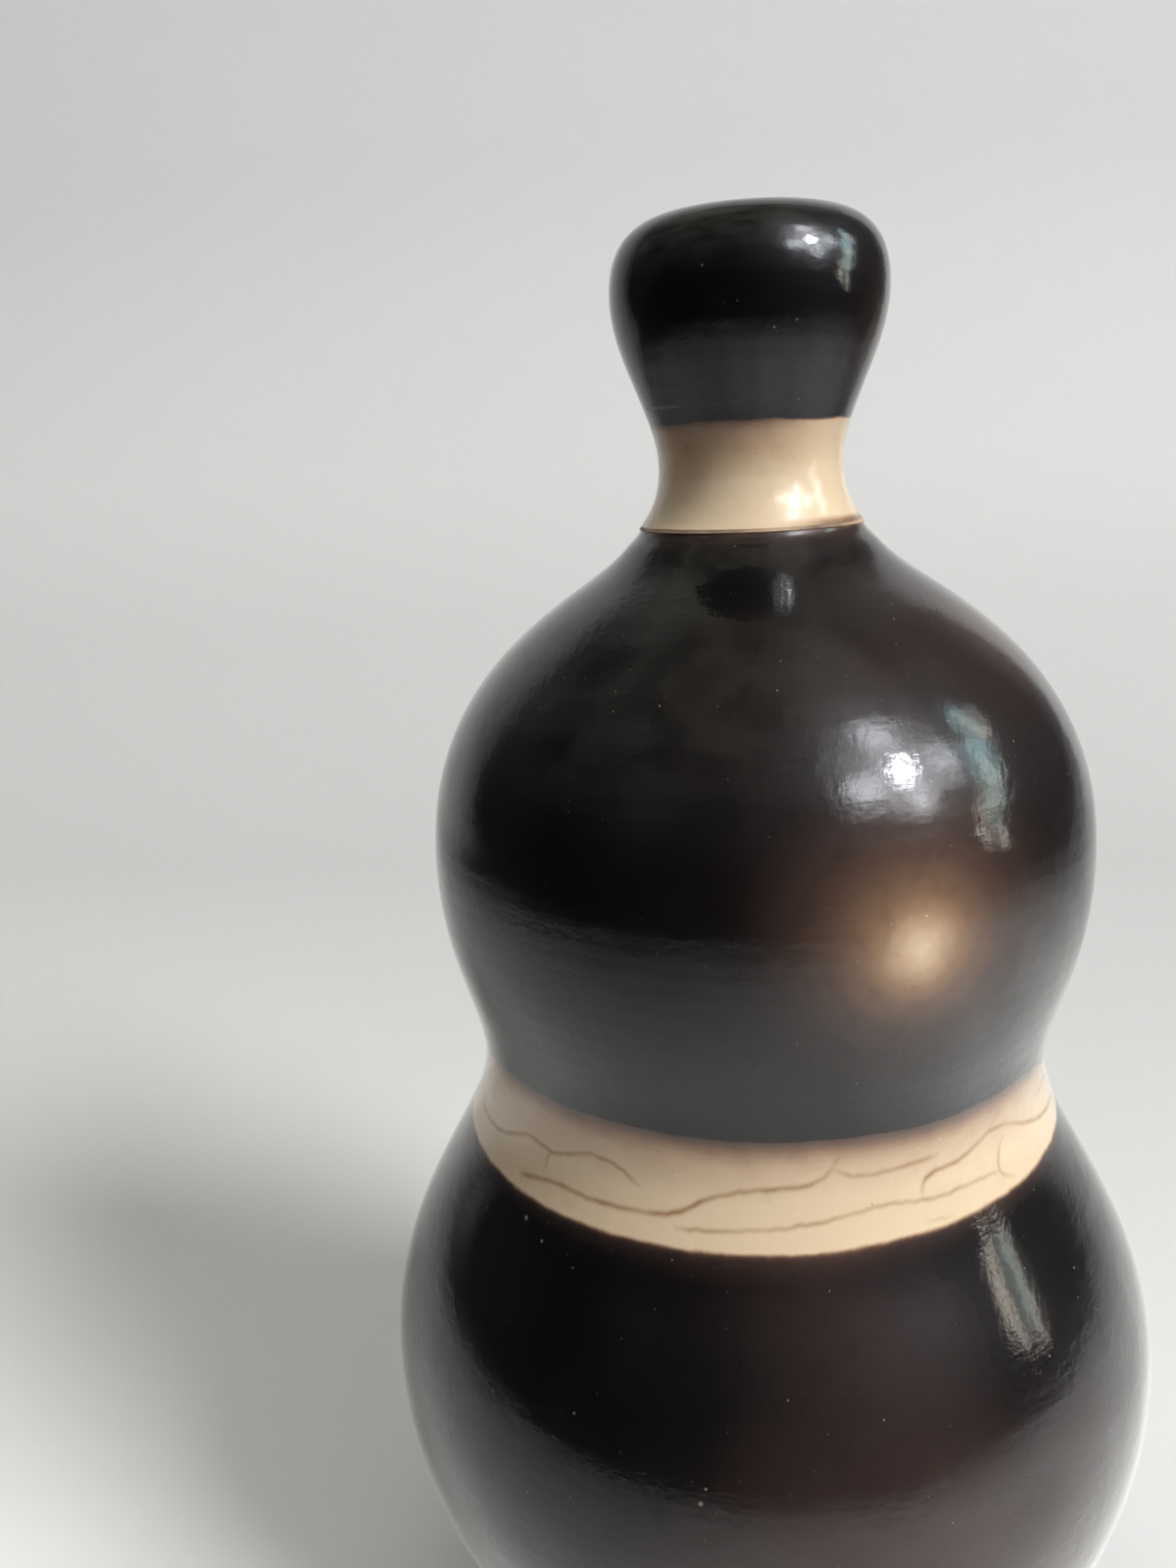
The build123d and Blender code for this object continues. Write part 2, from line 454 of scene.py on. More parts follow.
def crack_soot(angles, height, radius):
    """How much soot each place holds for the crackle lines, laid out flat at the band's radius."""
    soot = np.zeros(angles.shape)
    draw = np.random.default_rng(seed)
    for strength, line in (*front_cracks, *back_cracks()):
        flat = np.array([(from_front(d) * radius, waist_low_height + h * MM) for d, h in line])
        if len(flat) == 2:
            flat = np.vstack([flat[0], flat.mean(0), flat[1]])
        curve, distance = spline(flat)
        along = np.linspace(0, distance[-1], max(4, int(distance[-1] / crack_step)))
        flat = curve(along)
        flat[1:-1] += draw.normal(0, crack_jitter, (len(flat) - 2, 2))
        fade = np.clip(np.minimum(along, distance[-1] - along) / crack_fade, 0, 1)
        weight = strength * (crack_end_share + (1 - crack_end_share) * fade)
        weight = weight * draw.uniform(*crack_weights, len(flat))
        width = crack_width * (crack_thin_share + (1 - crack_thin_share) * strength)
        for a, b, weight_a, weight_b in zip(flat, flat[1:], weight, weight[1:]):
            middle = (a[0] + b[0]) / 2
            x = ((angles - middle / radius + math.pi) % ROUND - math.pi) * radius + middle
            close = np.abs(x - middle) < crack_near
            run = b - a
            share = ((x[close] - a[0]) * run[0] + (height[close] - a[1]) * run[1]) / (run @ run)
            share = np.clip(share, 0, 1)
            gap = np.hypot(x[close] - a[0] - share * run[0], height[close] - a[1] - share * run[1])
            held = (weight_a + (weight_b - weight_a) * share) * np.exp(-((gap / width) ** 2))
            soot[close] = np.maximum(soot[close], held)
    return soot


def crackle(angles, height, is_outer):
    """The band's crackle: a fine groove along every line, and how much soot it holds."""
    soot = np.where(is_outer, crack_soot(angles, height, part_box("waist_collar")[1].x), 0.0)
    return -crack_depth * soot, {"crack": soot}


def root_line(angles, height, is_outer):
    """The neck's foot stands out a little and unevenly over its root."""
    over = (height - neck_root_height) / root_reach
    uneven = root_mean_share
    for lobes, phase, share in root_waves:
        uneven = uneven + share * np.sin(lobes * angles + phase)
    lip = np.where(is_outer & (over < 1), np.clip(1 - over, 0, 1) ** 2, 0)
    return root_ridge * lip * uneven, {}


def shoulder_line(angles, height, is_outer):
    """The shoulder sweeps up hollow to the neck's root."""
    hollow = np.zeros(height.shape)
    for below, reach, depth in shoulder_hollows:
        hollow += depth * np.exp(-(((neck_root_height - below - height) / reach) ** 2))
    return np.where(is_outer, -hollow, 0), {}


def belly_line(angles, height, is_outer):
    """The lower gourd stays full under its belly."""
    swell = swell_depth * np.exp(-(((height - swell_height) / swell_reach) ** 2))
    under = np.clip((belly_height - height) / swell_reach, 0, 1)
    return np.where(is_outer, swell * np.sqrt(under), 0), {}


# The mix node's sockets for colours, which share their names with its other sockets.
mix_share, mix_first, mix_second, mix_result = 0, 6, 7, 2


class Paint:
    """Short calls that add shader nodes to one material and link them."""

    def __init__(self, name):
        self.material = bpy.data.materials.new(name)
        self.material.use_nodes = True
        self.tree = self.material.node_tree
        self.surface = self.tree.nodes["Principled BSDF"]
        place = self.add("ShaderNodeTexCoord")
        self.place = place.outputs["Object"]
        apart = self.add("ShaderNodeSeparateXYZ")
        self.put(apart.inputs[0], self.place)
        self.x, self.y, self.z = apart.outputs

    def add(self, kind, **settings):
        node = self.tree.nodes.new(kind)
        for key, value in settings.items():
            setattr(node, key, value)
        return node

    def put(self, socket, value):
        if isinstance(value, bpy.types.NodeSocket):
            self.tree.links.new(value, socket)
        else:
            socket.default_value = value

    def set(self, name, value):
        self.put(self.surface.inputs[name], value)

    def math(self, operation, *values):
        node = self.add("ShaderNodeMath", operation=operation)
        for socket, value in zip(node.inputs, values):
            self.put(socket, value)
        return node.outputs[0]

    def vector(self, operation, *values):
        """The operation's vector, or its number where it is a distance."""
        node = self.add("ShaderNodeVectorMath", operation=operation)
        for socket, value in zip(node.inputs, values):
            self.put(socket, value)
        return node.outputs["Value" if operation == "DISTANCE" else "Vector"]

    def distance_to(self, point):
        return self.vector("DISTANCE", self.place, point)

    def stretch(self, value, low, high, to_low=0.0, to_high=1.0, smooth=True):
        node = self.add("ShaderNodeMapRange", interpolation_type="SMOOTHSTEP" if smooth else "LINEAR")
        keys = ("Value", "From Min", "From Max", "To Min", "To Max")
        for key, number in zip(keys, (value, low, high, to_low, to_high)):
            self.put(node.inputs[key], number)
        return node.outputs[0]

    def ramp(self, value, stops, bend="LINEAR"):
        node = self.add("ShaderNodeValToRGB")
        node.color_ramp.interpolation = bend
        elements = node.color_ramp.elements
        while len(elements) < len(stops):
            elements.new(0.5)
        for element, (position, colour) in zip(elements, stops):
            element.position = position
            element.color = (*colour, 1.0) if isinstance(colour, tuple) else (colour, colour, colour, 1.0)
        self.put(node.inputs[0], value)
        return node.outputs[0]

    def grade(self, value, stops):
        """A ramp whose stops are given at the value's own places."""
        first, last = stops[0][0], stops[-1][0]
        share = self.stretch(value, first, last, smooth=False)
        return self.ramp(share, tuple(((at - first) / (last - first), tone) for at, tone in stops))

    def noise(self, scale, stretch=(1.0, 1.0, 1.0), detail=3.0, roughness=0.55):
        mapping = self.add("ShaderNodeMapping")
        self.put(mapping.inputs["Vector"], self.place)
        self.put(mapping.inputs["Scale"], stretch)
        node = self.add("ShaderNodeTexNoise")
        self.put(node.inputs["Vector"], mapping.outputs[0])
        self.put(node.inputs["Scale"], scale)
        self.put(node.inputs["Detail"], detail)
        self.put(node.inputs["Roughness"], roughness)
        return node.outputs["Fac"]

    def dots(self, scale, radius, kept):
        """Round spots at random places; kept is the share of them that shows."""
        node = self.add("ShaderNodeTexVoronoi")
        self.put(node.inputs["Vector"], self.place)
        self.put(node.inputs["Scale"], scale)
        spots = self.stretch(node.outputs["Distance"], radius * scale, radius * scale / 2)
        draw = self.add("ShaderNodeSeparateColor")
        self.put(draw.inputs[0], node.outputs["Color"])
        return self.math("MULTIPLY", spots, self.math("LESS_THAN", draw.outputs[0], kept))

    def mix(self, share, a, b):
        node = self.add("ShaderNodeMix", data_type="RGBA")
        self.put(node.inputs[mix_share], share)
        self.put(node.inputs[mix_first], a)
        self.put(node.inputs[mix_second], b)
        return node.outputs[mix_result]

    def bump(self, height, depth):
        node = self.add("ShaderNodeBump")
        self.put(node.inputs["Strength"], 1.0)
        self.put(node.inputs["Distance"], depth)
        self.put(node.inputs["Height"], height)
        self.set("Normal", node.outputs[0])
        self.set("Coat Normal", node.outputs[0])


# Colours from bare clay to full soot.
soot_stops = (
    (0.0, (0.77, 0.615, 0.43)),
    (0.2, (0.57, 0.405, 0.267)),
    (0.42, (0.28, 0.173, 0.108)),
    (0.58, (0.142, 0.086, 0.058)),
    (0.7, (0.071, 0.042, 0.032)),
    (0.78, (0.041, 0.025, 0.0205)),
    (0.86, (0.0215, 0.0135, 0.0123)),
    (0.95, (0.0052, 0.0038, 0.0040)),
    (1.0, (0.0020, 0.0018, 0.0025)),
)

# The clay's noise textures, by what they vary.
clay_noise = {
    "edge": {"scale": 70.0, "detail": 4.0},
    "fringe": {"scale": 260.0, "detail": 2.0},
    "cloud": {"scale": 22.0, "detail": 1.0},
    "mottle": {"scale": 35.0, "detail": 6.0},
    "grime": {"scale": 240.0, "detail": 4.0, "roughness": 0.65},
    "crack": {"scale": 120.0, "detail": 2.0},
    "body": {"scale": 28.0, "stretch": (1.0, 1.0, 2.2), "detail": 5.0},
    "rub": {"scale": 45.0, "detail": 2.0},
    "dent": {"scale": 60.0, "stretch": (0.6, 0.6, 1.4), "detail": 1.0},
}

# How far the smoke's edges, its fringes and the flashes wander. A smoked upper edge is hard.
edge_wander = 1.6 * MM
fringe_wander = 0.8 * MM
flash_wander = 2.4 * MM
edge_hard = 0.4 * MM

# How the brown bloom thickens towards a smoked edge, over its reach. The neck's bloom fades to the right.
# Here and below a range is (from, to) of a place or a noise, then what it gives at both, or 0 and 1.
waist_bloom_reach = 11.0 * MM
waist_bloom = (
    (0.0, 0.0),
    (0.1, 0.03),
    (0.25, 0.08),
    (0.45, 0.135),
    (0.56, 0.18),
    (0.66, 0.24),
    (0.76, 0.335),
    (0.86, 0.465),
    (1.0, 0.66),
)
neck_bloom_reach = 11.5 * MM
neck_bloom_side = (1.0 * MM, 12.0 * MM, 1.0, 0.3)
neck_bloom = (
    (0.2, 0.0),
    (0.29, 0.05),
    (0.45, 0.11),
    (0.62, 0.19),
    (0.79, 0.265),
    (0.87, 0.32),
    (0.96, 0.455),
    (1.0, 0.60),
)
# How the soot thickens downwards over a smoked lower edge: height over the edge, then soot. On the neck
# that edge lies a little under the root.
neck_fringe_drop = 0.35 * MM
low_fringe = (
    (0.4 * MM, 0.0),
    (0.1 * MM, 0.2),
    (-0.15 * MM, 0.5),
    (-0.4 * MM, 0.74),
    (-0.9 * MM, 0.85),
    (-2.4 * MM, 0.94),
    (-4.6 * MM, 1.0),
)
# The brown stain on the right of the neck's root.
stain_over = (1.5 * MM, 0.2 * MM)
stain_under = (-1.0 * MM, -0.2 * MM)
stain_side = (2.0 * MM, 14.0 * MM)
stain_patches = (0.3, 0.65, 0.25, 0.55)

# Where the flame burnt the soot off: degrees round from the front, height, reach and strength of each, and
# how they fade outwards. The faint one on the shoulder's right limb is partly burnt-off soot and partly a
# painted reflection of the lit wall.
flashes_and_painted_reflection = (
    (23.3, 165.9 * MM, 26.5 * MM, 1.0),
    # Faint flash on the shoulder's right limb: in part a painted reflection of the lit wall.
    (69.0, 203.5 * MM, 28.0 * MM, 0.16),
    (158.0, 70.0 * MM, 34.0 * MM, 0.55),
)
flash_stops = (
    (0.0, 0.9),
    (0.05, 0.81),
    (0.12, 0.685),
    (0.2, 0.555),
    (0.3, 0.4),
    (0.45, 0.265),
    (0.62, 0.145),
    (0.8, 0.07),
    (1.0, 0.0),
)
# Broad places where the smoke is thin and a dark red-brown shows: degrees, height, reach and strength.
thin_smoke = (
    (15.0, 74.0 * MM, 78.0 * MM, 0.22),
    (2.0, 80.0 * MM, 45.0 * MM, 0.035),
    (27.0, 184.0 * MM, 80.0 * MM, 0.105),
    (9.0, 168.0 * MM, 34.0 * MM, 0.06),
    (30.0, 212.0 * MM, 36.0 * MM, 0.06),
    (80.0, 252.0 * MM, 24.0 * MM, 0.2),
    (-140.0, 150.0 * MM, 60.0 * MM, 0.12),
)
thin_gone_share, thin_full_share = 1.4, 0.4

# Unevenness of the colour, more of it on bare clay than on soot.
mottle_depth = 0.08
grime_patches = (0.45, 0.75, 0.0, 0.045)
mottle_bare = (0.0, 0.6, 0.3, 1.0)

# The crackle's stain, and the pale hairline of the mouth's seam, which shows on the left.
crack_tones = (0.3, 0.7, 0.62, 0.92)
crack_colour = (0.30, 0.14, 0.05, 1.0)
bud_seam_fade = (0.28 * MM, 0.1 * MM)
bud_seam_side = (1.0 * MM, -7.0 * MM)
bud_seam_patches = (0.35, 0.6, 0.1, 0.65)
bud_seam_colour = (0.15, 0.14, 0.13, 1.0)

# Specks and dust: scale, radius and share kept, how well they cover, and their colours on clay and on soot.
speck_dots = (300.0, 0.21 * MM, 0.28)
speck_cover = 0.72
speck_stops = ((0.3, (0.30, 0.20, 0.12)), (0.6, (0.23, 0.205, 0.18)))
dust_dots = (560.0, 0.15 * MM, 0.3)
dust_cover = 0.7
dust_stops = ((0.3, (0.92, 0.82, 0.66)), (0.6, (0.12, 0.105, 0.095)))

# Small chips through the soot skin: degrees round from the front, height and half-width.
chips = (
    (-43.3, 113.8 * MM, 0.34 * MM),
    (-38.4, 112.2 * MM, 0.18 * MM),
    (-25.5, 93.2 * MM, 0.28 * MM),
    (-7.0, 88.1 * MM, 0.16 * MM),
    (-7.6, 86.0 * MM, 0.18 * MM),
    (-24.6, 81.3 * MM, 0.24 * MM),
    (-28.7, 210.4 * MM, 0.18 * MM),
)
chip_gone_share, chip_full_share = 1.4, 0.6
chip_cover = 0.6
chip_colour = (0.33, 0.29, 0.24, 1.0)

# The burnish: a soft body under a clear gloss, and its relief in millimetres. Each layer of rubbing has
# its scale, stretch and depth.
body_roughness = (0.3, 0.7, 0.36, 0.5)
body_specular = 0.06
gloss_ior = 1.42
gloss_roughness = 0.08
speck_pit = 0.03
rubs = (
    (900.0, (0.8, 0.8, 1.4), 0.022),
    (420.0, (0.2, 0.2, 1.8), 0.016),
    (520.0, (1.3, 0.3, 0.5), 0.03),
    (240.0, (0.6, 0.6, 1.2), 0.036),
)
rub_detail = 2.0
rub_patches = (0.35, 0.65, 0.5, 1.5)
dent_depth = 0.06


def on_outside(degrees, height):
    """The place on the vase's outside at an angle round from the front and a height."""
    order = np.argsort(outside_points[:, 1])
    radius = np.interp(height, outside_points[order, 1], outside_points[order, 0])
    angle = from_front(degrees)
    return radius * math.cos(angle), radius * math.sin(angle), height


def soot_over(paint, gap, bloom):
    """Full soot above an edge and its bloom below, where gap is the height over the edge."""
    return paint.math("MAXIMUM", bloom, paint.stretch(gap, -edge_hard, edge_hard))


def bloom_under(paint, gap, reach, stops):
    """The brown bloom that reaches down from a smoked edge over the bare clay."""
    return paint.ramp(paint.stretch(gap, -reach, 0.0, smooth=False), stops, "CARDINAL")


def soot_under(paint, gap, fringe):
    """Soot below an edge, with a thin brown fringe."""
    return paint.grade(paint.math("ADD", gap, fringe), low_fringe)


def smoke_bands(paint, uneven, fringe):
    """Soot everywhere but on the cream neck and the cream waist band."""
    shift = paint.math("MULTIPLY_ADD", uneven, edge_wander, -edge_wander / 2)
    neck_top = paint.math("ADD", paint.math("SUBTRACT", paint.z, neck_dark_height), shift)
    neck_haze = bloom_under(paint, neck_top, neck_bloom_reach, neck_bloom)
    neck_haze = paint.math("MULTIPLY", neck_haze, paint.stretch(paint.x, *neck_bloom_side))
    neck_foot = paint.math("SUBTRACT", paint.z, neck_root_height)
    neck_foot = soot_under(paint, paint.math("ADD", neck_foot, neck_fringe_drop), fringe)
    neck = paint.math("MAXIMUM", soot_over(paint, neck_top, neck_haze), neck_foot)

    waist_top = paint.math("ADD", paint.math("SUBTRACT", paint.z, waist_high_height), shift)
    waist_haze = bloom_under(paint, waist_top, waist_bloom_reach, waist_bloom)
    tilted = paint.math("MULTIPLY_ADD", paint.x, -waist_low_tilt, paint.z)
    waist_foot = soot_under(paint, paint.math("SUBTRACT", tilted, waist_low_height), fringe)
    waist = paint.math("MAXIMUM", soot_over(paint, waist_top, waist_haze), waist_foot)
    return paint.math("MINIMUM", neck, waist)


def stained(paint, soot, uneven):
    """The soot with the stain at the neck's root."""
    gap = paint.math("SUBTRACT", paint.z, neck_root_height)
    stain = paint.math("MULTIPLY", paint.stretch(gap, *stain_over), paint.stretch(paint.x, *stain_side))
    stain = paint.math("MULTIPLY", stain, paint.stretch(gap, *stain_under))
    stain = paint.math("MULTIPLY", stain, paint.stretch(uneven, *stain_patches))
    return paint.math("MAXIMUM", soot, stain)


def burnt_off_and_painted_reflection(paint, soot, uneven):
    """The soot that the flash marks left, with a faint painted reflection on the shoulder's right limb."""
    half = flash_wander / 2
    for degrees, height, reach, strength in flashes_and_painted_reflection:
        distance = paint.distance_to(on_outside(degrees, height))
        distance = paint.math("MULTIPLY_ADD", uneven, flash_wander, distance)
        share = paint.stretch(distance, half, reach + half, smooth=False)
        burnt = paint.ramp(share, tuple((at, strength * value) for at, value in flash_stops), "CARDINAL")
        soot = paint.math("SUBTRACT", soot, paint.math("MULTIPLY", burnt, soot))
    return soot


def thinned(paint, soot):
    """The soot with its thin places, which have cloudy edges."""
    cloud = paint.noise(**clay_noise["cloud"])
    for degrees, height, reach, strength in thin_smoke:
        distance = paint.distance_to(on_outside(degrees, height))
        distance = paint.math("MULTIPLY_ADD", cloud, reach, distance)
        thin = paint.stretch(distance, reach * thin_gone_share, reach * thin_full_share, 0.0, strength)
        soot = paint.math("SUBTRACT", soot, thin)
    return soot


def clay_colour(paint, soot, bare):
    """The colour of clay with this much soot, mottled and a little grimy."""
    mottle = paint.noise(**clay_noise["mottle"])
    mottle = paint.math("MULTIPLY_ADD", mottle, mottle_depth, -mottle_depth / 2)
    grime = paint.stretch(paint.noise(**clay_noise["grime"]), *grime_patches)
    mottle = paint.math("MULTIPLY", paint.math("ADD", mottle, grime), paint.stretch(bare, *mottle_bare))
    return paint.ramp(paint.math("ADD", soot, mottle), soot_stops)


def crackled(paint, colour, bare):
    """The colour with the crackle's stain on bare clay."""
    stain = paint.add("ShaderNodeAttribute", attribute_name="crack").outputs["Fac"]
    stain = paint.math("MULTIPLY", stain, paint.stretch(paint.noise(**clay_noise["crack"]), *crack_tones))
    return paint.mix(paint.math("MULTIPLY", stain, bare), colour, crack_colour)


def seamed(paint, colour, uneven):
    """The colour with the pale hairline of the mouth's seam."""
    gap = paint.math("ABSOLUTE", paint.math("SUBTRACT", paint.z, bud_seam_height))
    pale = paint.stretch(gap, *bud_seam_fade)
    pale = paint.math("MULTIPLY", pale, paint.stretch(paint.x, *bud_seam_side))
    pale = paint.math("MULTIPLY", pale, paint.stretch(uneven, *bud_seam_patches))
    return paint.mix(pale, colour, bud_seam_colour)


def chipped(paint, colour, fringe):
    """The colour with the chips."""
    for degrees, height, width in chips:
        near = paint.math("ADD", paint.distance_to(on_outside(degrees, height)), fringe)
        chip = paint.stretch(near, width * chip_gone_share, width * chip_full_share, 0.0, chip_cover)
        colour = paint.mix(chip, colour, chip_colour)
    return colour


def burnish(paint, specks):
    """The clear gloss over a softer body, with the relief that rubbing left."""
    paint.set("Roughness", paint.stretch(paint.noise(**clay_noise["body"]), *body_roughness))
    paint.set("Specular IOR Level", body_specular)
    paint.set("Coat Weight", 1.0)
    paint.set("Coat IOR", gloss_ior)
    paint.set("Coat Roughness", gloss_roughness)
    height = paint.math("MULTIPLY", specks, -speck_pit)
    for scale, stretch, depth in rubs:
        height = paint.math("MULTIPLY_ADD", paint.noise(scale, stretch, rub_detail), depth, height)
    patches = paint.stretch(paint.noise(**clay_noise["rub"]), *rub_patches)
    height = paint.math("MULTIPLY", height, patches)
    height = paint.math("MULTIPLY_ADD", paint.noise(**clay_noise["dent"]), dent_depth, height)
    paint.bump(height, MM)


def clay_material():
    """Burnished clay: cream where it stayed bare, brown to black where smoke got in."""
    paint = Paint("burnished_clay")
    uneven = paint.noise(**clay_noise["edge"])
    fringe = paint.noise(**clay_noise["fringe"])
    fringe = paint.math("MULTIPLY_ADD", fringe, fringe_wander, -fringe_wander / 2)
    soot = smoke_bands(paint, uneven, fringe)
    soot = stained(paint, soot, uneven)
    soot = burnt_off_and_painted_reflection(paint, soot, uneven)
    soot = thinned(paint, soot)
    bare = paint.math("SUBTRACT", 1.0, soot)

    specks, dust = paint.dots(*speck_dots), paint.dots(*dust_dots)
    colour = clay_colour(paint, soot, bare)
    colour = crackled(paint, colour, bare)
    for dots, cover, stops in ((specks, speck_cover, speck_stops), (dust, dust_cover, dust_stops)):
        colour = paint.mix(paint.math("MULTIPLY", dots, cover), colour, paint.ramp(soot, stops))
    colour = seamed(paint, colour, uneven)
    paint.set("Base Color", chipped(paint, colour, fringe))
    burnish(paint, specks)
    return paint.material


slip_stops = ((0.35, (0.10, 0.065, 0.045)), (0.55, (0.42, 0.30, 0.20)), (0.7, (0.60, 0.46, 0.32)))
slip_roughness = (0.3, 0.7, 0.55, 0.75)
slip_stain = {"scale": 90.0, "detail": 4.0}
slip_grain = {"scale": 500.0, "detail": 3.0}
slip_grain_depth = 0.05 * MM


def slip_material():
    """The fired slip in the joints: matte, light brown and stained unevenly."""
    paint = Paint("fired_slip")
    stain = paint.noise(**slip_stain)
    paint.set("Base Color", paint.ramp(stain, slip_stops))
    paint.set("Roughness", paint.stretch(stain, *slip_roughness))
    paint.bump(paint.noise(**slip_grain), slip_grain_depth)
    return paint.material


clay, slip = clay_material(), slip_material()
pieces = (
    ("lower_gourd_skin", "lower_gourd", outer_step, gourd_turns, belly_line, "smoked_black"),
    ("waist_band", "waist_collar", band_step, band_turns, crackle, "bare_cream"),
    ("upper_gourd_skin", "upper_gourd", shoulder_step, gourd_turns, shoulder_line, "smoked_black"),
    ("neck_band", "neck_collar", neck_step, neck_turns, root_line, "bare_cream"),
    ("mouth_bud_skin", "mouth_bud", neck_step, neck_turns, None, "smoked_black"),
    ("foot_ring_skin", "foot_ring", outer_step, gourd_turns, None, "smoked_black"),
)
for name, node, step, turns, shape, slot in pieces:
    piece = turned_piece(name, node, step, turns, shape)
    piece.data.materials.append(clay)
for node in ("foot_slip", "waist_slip", "neck_slip", "bud_slip"):
    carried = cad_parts[node]
    carried.data.materials.clear()
    carried.data.materials.append(clay if node == "bud_slip" else slip)


# The stage: a pale paper floor that bends up into a wall behind, softly lit from the right.
floor_half = 2.5
sweep_start = 0.24
sweep_radius = 0.42
sweep_step_degrees = 5
wall_height = 1.2
# The paper's tone by distance back and up, with painted shade that darkens it behind the vase and most at
# the bend, its tint, and the painted light and shade that make the left side lighter than the right.
paper_shade_stops = (
    (-0.05, 0.84),
    (0.15, 0.68),
    (0.42, 0.53),
    (0.68, 0.595),
    (0.83, 0.695),
    (1.1, 0.805),
)
paper_tint = (0.982, 1.0, 1.012)
paper_side_shade = (-0.6, 0.6, 1.05, 0.95)
paper_roughness = 0.85
# Where the paper fades out, each from gone to whole: for the camera and in mirrors by distance along the
# floor from a middle place, and for the mirrored wall by depth, right, left and height.
floor_middle = (0.0, 0.2, 0.0)
camera_fade = (1.6, 0.85)
mirror_fade = (0.92, 0.26)
mirror_noise = {"scale": 4.0, "detail": 3.0}
mirror_wander = 0.2
wall_depth_fade = (0.22, 0.5)
wall_right_fade = (0.58, 0.44)
wall_left_fade = (-1.9, -0.7)
wall_top_fade = (1.2, 0.74)


def paper_material():
    """Pale paper with painted shade, darker towards the bend behind and on the right, fading out far from
    the vase so that no edge shows.
    """
    paint = Paint("pale_paper")
    # Painted shade: darker behind the vase and at the bend, and darker on the right than on the left.
    shaded_tones = paint.grade(paint.math("ADD", paint.y, paint.z), paper_shade_stops)
    side = paint.stretch(paint.x, *paper_side_shade, smooth=False)
    paint.set("Base Color", paint.vector("MULTIPLY", paint.math("MULTIPLY", shaded_tones, side), paper_tint))
    paint.set("Roughness", paper_roughness)

    far = paint.vector("DISTANCE", paint.vector("MULTIPLY", paint.place, (1.0, 1.0, 0.0)), floor_middle)
    wander = paint.math("MULTIPLY_ADD", paint.noise(**mirror_noise), mirror_wander, -mirror_wander / 2)
    mirrored = paint.stretch(paint.math("ADD", far, wander), *mirror_fade)
    wall = paint.stretch(paint.y, *wall_depth_fade)
    for way, fade in ((paint.x, wall_right_fade), (paint.x, wall_left_fade), (paint.z, wall_top_fade)):
        wall = paint.math("MULTIPLY", wall, paint.stretch(way, *fade))
    mirrored = paint.math("MAXIMUM", mirrored, wall)
    seen = paint.add("ShaderNodeLightPath").outputs["Is Camera Ray"]
    shown = paint.math("SUBTRACT", paint.stretch(far, *camera_fade), mirrored)
    paint.set("Alpha", paint.math("MULTIPLY_ADD", shown, seen, mirrored))
    return paint.material


def add_sheet(name, profile, half_width, material):
    """A stage sheet: a profile of (y, z) points drawn out to both sides."""
    verts = [(x, y, z) for y, z in profile for x in (-half_width, half_width)]
    faces = [(2 * i, 2 * i + 1, 2 * i + 3, 2 * i + 2) for i in range(len(profile) - 1)]
    mesh = bpy.data.meshes.new(name)
    mesh.from_pydata(verts, [], faces)
    mesh.shade_smooth()
    mesh.materials.append(material)
    made = bpy.data.objects.new(name, mesh)
    bpy.context.scene.collection.objects.link(made)


arc = [math.radians(a) for a in range(0, 91, sweep_step_degrees)]
sweep = [(sweep_start + sweep_radius * math.sin(a), sweep_radius * (1 - math.cos(a))) for a in arc]
floor_profile = [(-floor_half, 0.0), *sweep, (sweep[-1][0], wall_height)]
add_sheet("floor", floor_profile, floor_half, paper_material())

# Lights stand this far from a place in the upper part of the vase, and face it.
light_distance = 5.0
stage_middle_share = 0.7
stage_middle = (0.0, 0.0, cad_box[1].z * stage_middle_share)


def toward(degrees, rise, distance):
    """A place seen from the stage's middle, degrees round from the front and degrees up."""
    a, e = math.radians(degrees), math.radians(rise)
    x, y, z = stage_middle
    flat = distance * math.cos(e)
    return x + flat * math.sin(a), y - flat * math.cos(a), z + distance * math.sin(e)


def facing(degrees, rise):
    """The place and turn of a card in that direction: X runs to the right, Y up, and a unit is a degree."""
    a, e = math.radians(degrees), math.radians(rise)
    across = Vector((math.cos(a), math.sin(a), 0.0))
    up = Vector((-math.sin(e) * math.sin(a), math.sin(e) * math.cos(a), math.cos(e)))
    turn = Matrix((across, up, across.cross(up))).transposed().to_4x4()
    place = Matrix.Translation(toward(degrees, rise, light_distance))
    return place @ turn @ Matrix.Scale(light_distance * math.radians(1), 4)


def panel_light(name, degrees, rise, width, height, radiance, colour):
    """A soft oval light that faces the vase, its size in degrees as seen from there.

    No mirroring surface shows it: the glow cards stand for it there.
    """
    data = bpy.data.lights.new(name, "AREA")
    data.shape = "ELLIPSE"
    data.size, data.size_y = (light_distance * math.radians(d) for d in (width, height))
    data.energy, data.color = radiance * math.pi * data.size * data.size_y, colour
    lamp = bpy.data.objects.new(name, data)
    lamp.location = toward(degrees, rise, light_distance)
    lamp.rotation_euler = (Vector(stage_middle) - lamp.location).to_track_quat("-Z", "Y").to_euler()
    lamp.visible_glossy = False
    bpy.context.scene.collection.objects.link(lamp)


glow_nodes = ("ShaderNodeEmission", "ShaderNodeBsdfTransparent", "ShaderNodeAddShader")
glow_drift_detail = 3.0
glow_fine_scale = 2.5
glow_fine_detail = 4.0
glow_patches = (0.3, 0.7, 0.7, 1.3)


